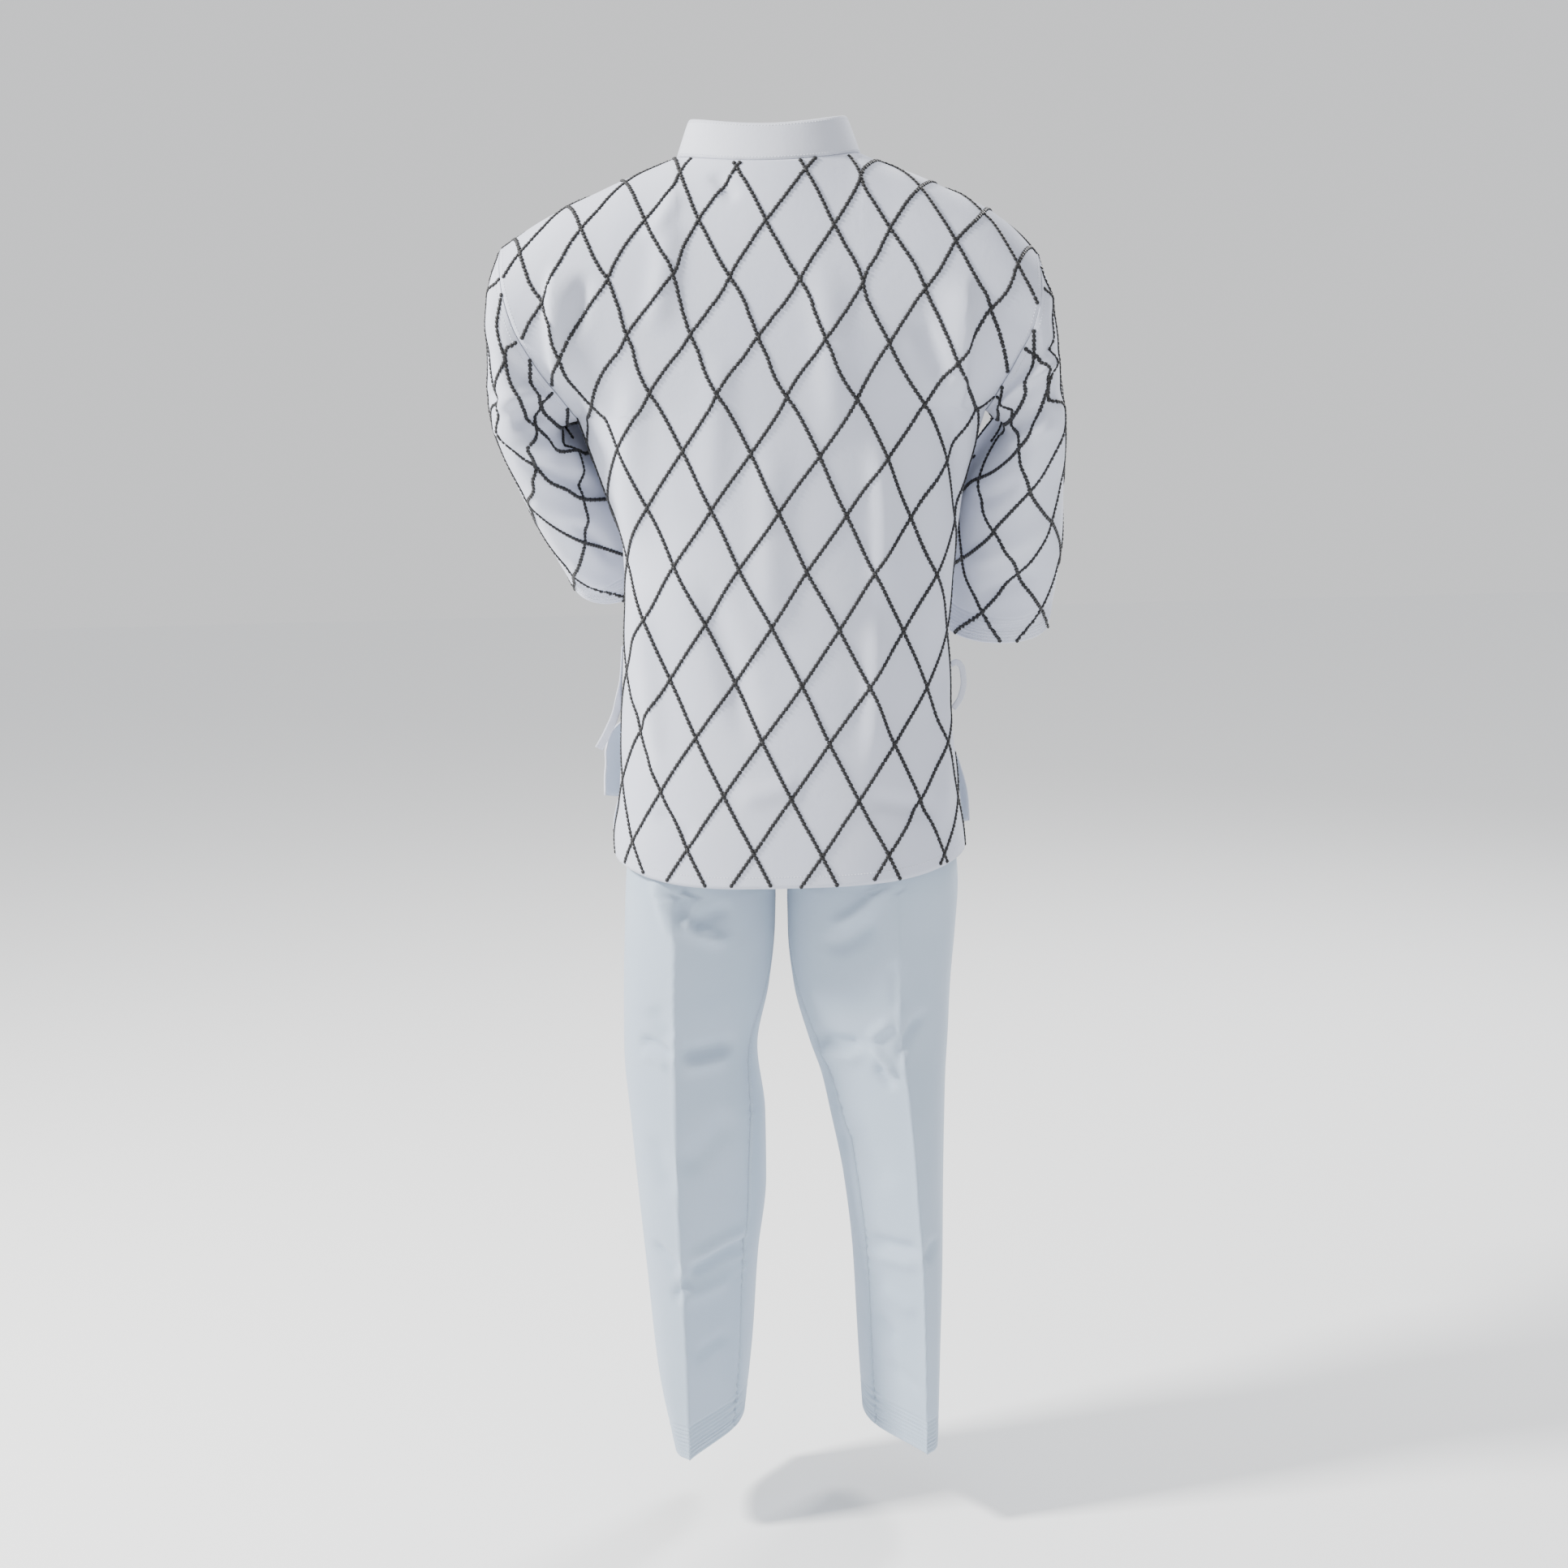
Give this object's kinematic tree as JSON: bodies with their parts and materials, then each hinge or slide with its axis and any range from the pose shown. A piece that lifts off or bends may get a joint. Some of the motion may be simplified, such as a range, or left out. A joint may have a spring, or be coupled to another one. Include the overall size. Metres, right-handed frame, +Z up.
{
  "type": "hapkido uniform",
  "caption": "Long-sleeved wrap jacket with standing collar band, stitched diamond lattice and side ties, worn over plain creased trousers.",
  "frame": {"origin": "centre of the neck base, level with the side neck points where the shoulders carry the jacket", "axes": "+Z up, +Y the way the wearer faces, +X the wearer's right"},
  "size_m": [0.6276, 0.319, 1.4652],
  "materials": {
    "jacket_cloth": "white cotton-blend drill, matt, with a stitched dark diamond lattice",
    "band_cloth": "plain white cotton-blend drill, doubled and stitched",
    "trouser_cloth": "plain white cotton-blend drill, pressed creases"
  },
  "bodies": {
    "root": {"collar_band": "band_cloth", "jacket_back": "jacket_cloth", "jacket_front_left": "jacket_cloth", "jacket_front_right": "jacket_cloth", "sleeve_left": "jacket_cloth", "sleeve_right": "jacket_cloth", "tie_left": "band_cloth", "tie_right": "band_cloth", "trouser_back_left": "trouser_cloth", "trouser_back_right": "trouser_cloth", "trouser_front_left": "trouser_cloth", "trouser_front_right": "trouser_cloth", "waistband": "trouser_cloth"}
  },
  "joints": []
}
